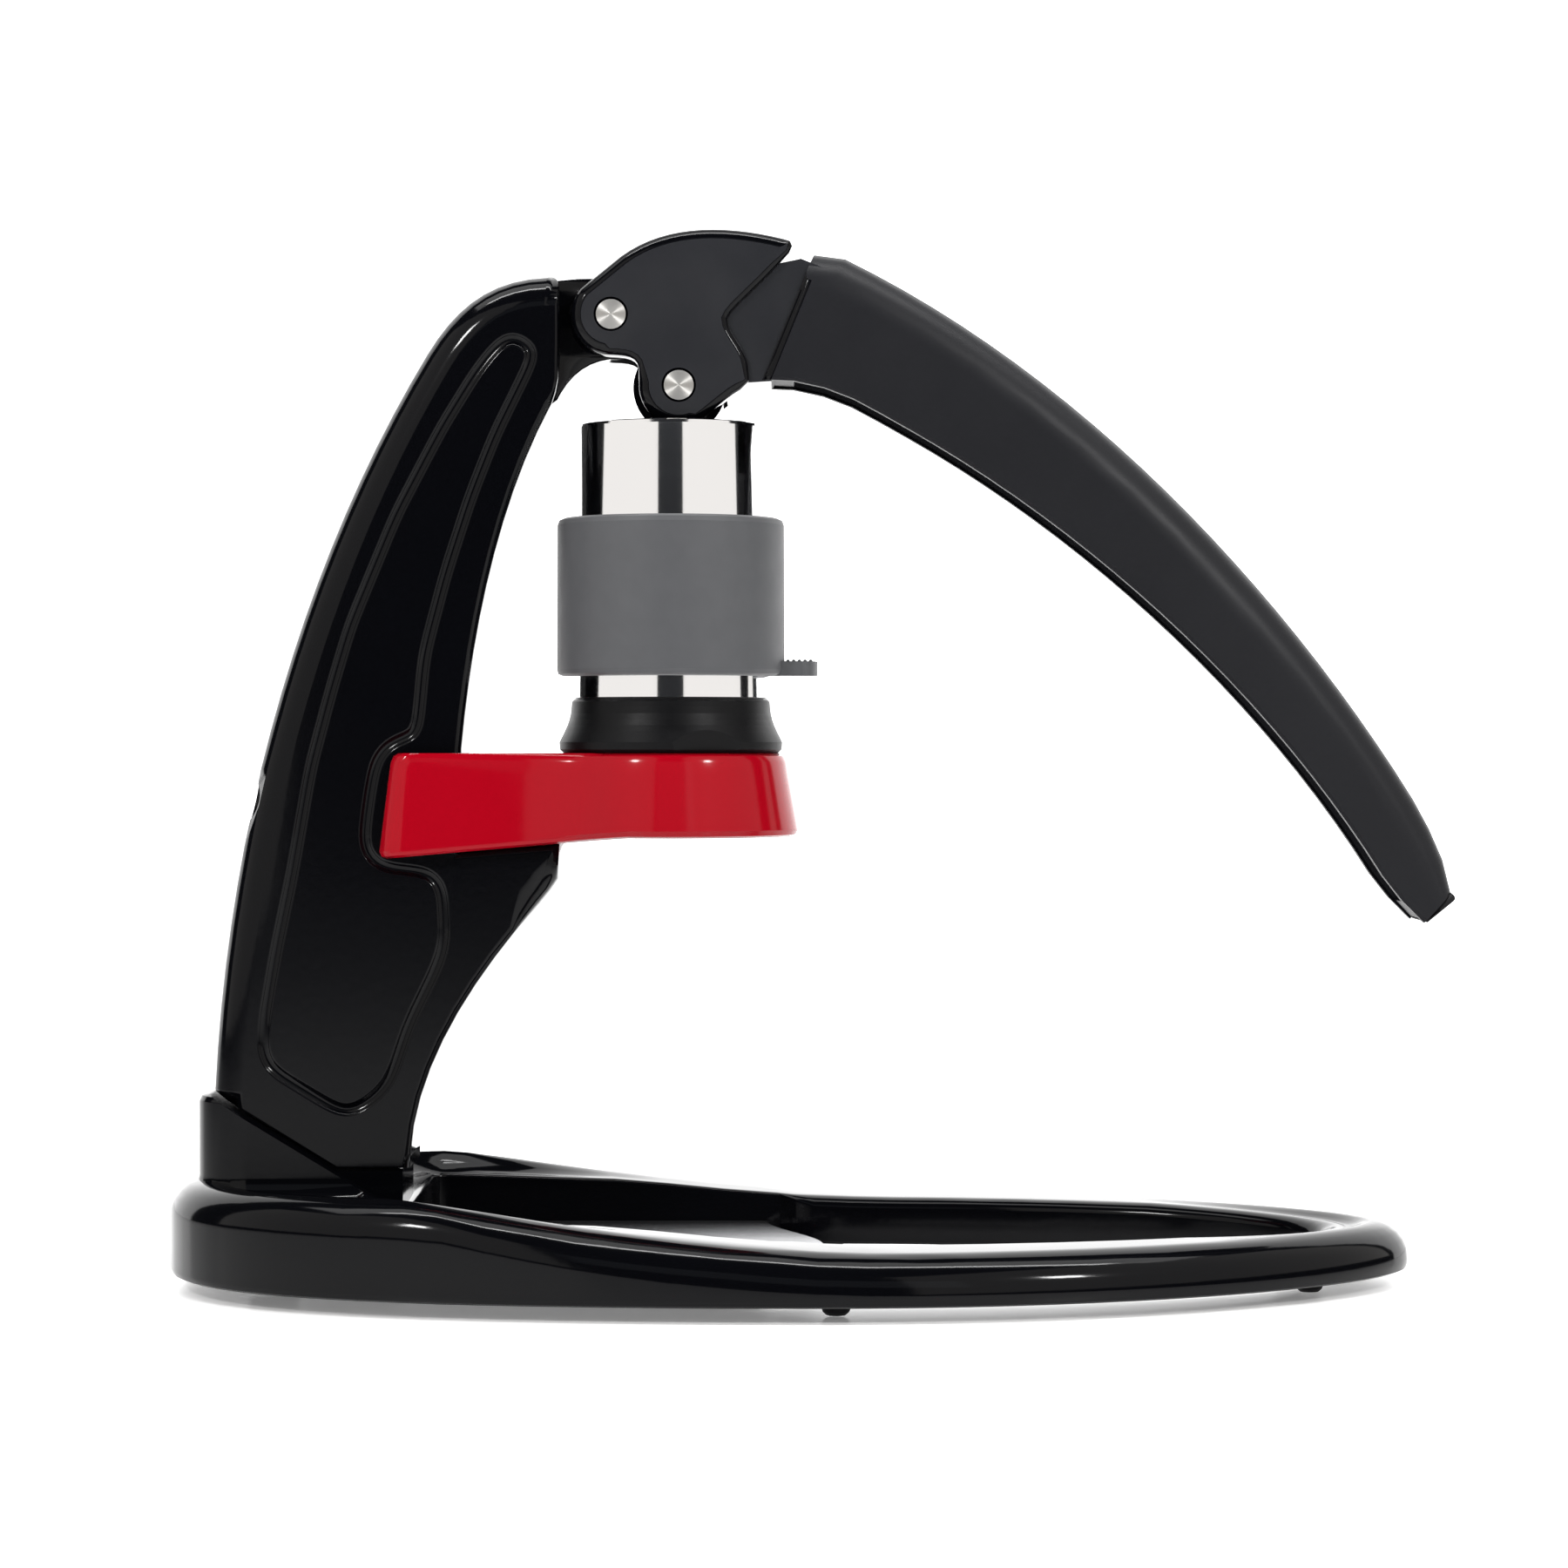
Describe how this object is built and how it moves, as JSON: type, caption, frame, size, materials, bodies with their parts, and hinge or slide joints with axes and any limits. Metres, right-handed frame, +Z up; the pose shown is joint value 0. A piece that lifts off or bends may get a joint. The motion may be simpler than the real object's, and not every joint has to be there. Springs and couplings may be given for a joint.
{
  "type": "manual lever espresso maker",
  "caption": "Hand-lever espresso maker: oval open base, curved post, arched fork lever with a hinged presser foot, and a steel brew cylinder with silicone sleeve held in a red ring arm.",
  "frame": {"origin": "on the counter plane under the axis of the brew cylinder", "axes": "+Z up, +X from the post toward the lever tip, Y = 0 is the mirror plane"},
  "size_m": [0.3052, 0.148, 0.2494],
  "materials": {
    "black_enamel": "gloss black stoved enamel on a casting",
    "red_enamel": "gloss red stoved enamel on a casting",
    "polished_steel": "mirror-polished stainless steel",
    "satin_steel": "satin stainless steel",
    "turned_steel": "turned steel with fine rings",
    "grey_silicone": "matt grey silicone",
    "red_silicone": "soft red silicone",
    "black_plastic": "fine-textured black plastic",
    "black_rubber": "matt black rubber",
    "nylon": "natural nylon",
    "bronze": "sintered bronze"
  },
  "bodies": {
    "stand": {"base_frame": "black_enamel", "rubber_feet": "black_rubber", "post": "black_enamel", "pivot_bush": "bronze", "pivot_washers": "nylon", "portafilter_arm": "red_enamel", "arm_bolts": "satin_steel", "portafilter_collar": "black_plastic", "portafilter_cup": "satin_steel", "portafilter_spout": "black_plastic", "cylinder_seal": "grey_silicone", "dispersion_screen": "satin_steel", "brew_cylinder": "polished_steel", "thermal_sleeve": "grey_silicone"},
    "tray": {"drip_tray": "satin_steel"},
    "wing_bolt": {"post_wing_bolt": "satin_steel"},
    "lever_body": {"lever": "black_enamel", "lever_end_cap": "black_rubber", "pivot_pin": "turned_steel", "presser_pin": "turned_steel"},
    "presser": {"presser_foot": "black_enamel", "foot_bush": "bronze", "foot_washers": "nylon", "foot_pad": "nylon"},
    "plunger": {"plunger_body": "black_plastic", "plunger_seals": "red_silicone", "plunger_stem": "turned_steel", "stem_cap": "black_plastic"}
  },
  "joints": [
    {"name": "lever_pivot", "type": "hinge", "parent": "stand", "child": "lever_body", "pos_m": [-0.0137, 0, 0.2292], "axis": [0, -1, 0], "range_deg": [0, 62]},
    {"name": "foot_pivot", "type": "hinge", "parent": "lever_body", "child": "presser", "pos_m": [0.00227, 0, 0.21255], "axis": [0, -1, 0], "range_deg": [-62.5, 0]},
    {"name": "plunger_slide", "type": "slide", "parent": "stand", "child": "plunger", "axis": [0, 0, 1], "range_m": [0, 0.0218]},
    {"name": "tray_lift", "type": "slide", "parent": "stand", "child": "tray", "axis": [0, 0, 1], "range_m": [0, 0.03]},
    {"name": "wing_bolt_turn", "type": "hinge", "parent": "stand", "child": "wing_bolt", "pos_m": [-0.078, 0, 0.01], "axis": [0, 0, 1], "continuous": true}
  ],
  "couplings": [
    {"joint": "foot_pivot", "follows": "lever_pivot", "ratio": -1},
    {"joint": "plunger_slide", "follows": "lever_pivot", "m_per_rad": 0.02}
  ]
}
